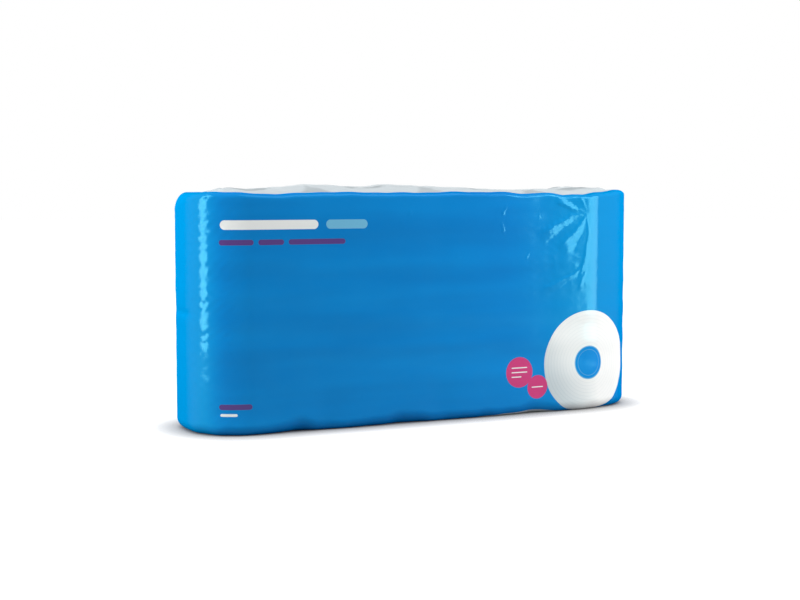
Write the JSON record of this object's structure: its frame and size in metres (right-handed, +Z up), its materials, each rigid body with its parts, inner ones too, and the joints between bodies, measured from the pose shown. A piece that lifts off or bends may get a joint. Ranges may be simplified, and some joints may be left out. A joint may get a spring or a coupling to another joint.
{
  "type": "toilet paper roll pack",
  "caption": "Film-wrapped pack of toilet rolls standing on end, two layers in one row, blue printed sleeve with folded and sealed milky film ends",
  "frame": {"origin": "centre of the flat base, on the surface the pack stands on", "axes": "+X along the row of rolls, -Y towards the printed front, +Z up along the roll cores"},
  "size_m": [0.424, 0.106, 0.2018],
  "materials": {
    "printed_film": "gloss"
  },
  "bodies": {
    "root": {"roll_pack": "printed_film"}
  },
  "joints": []
}
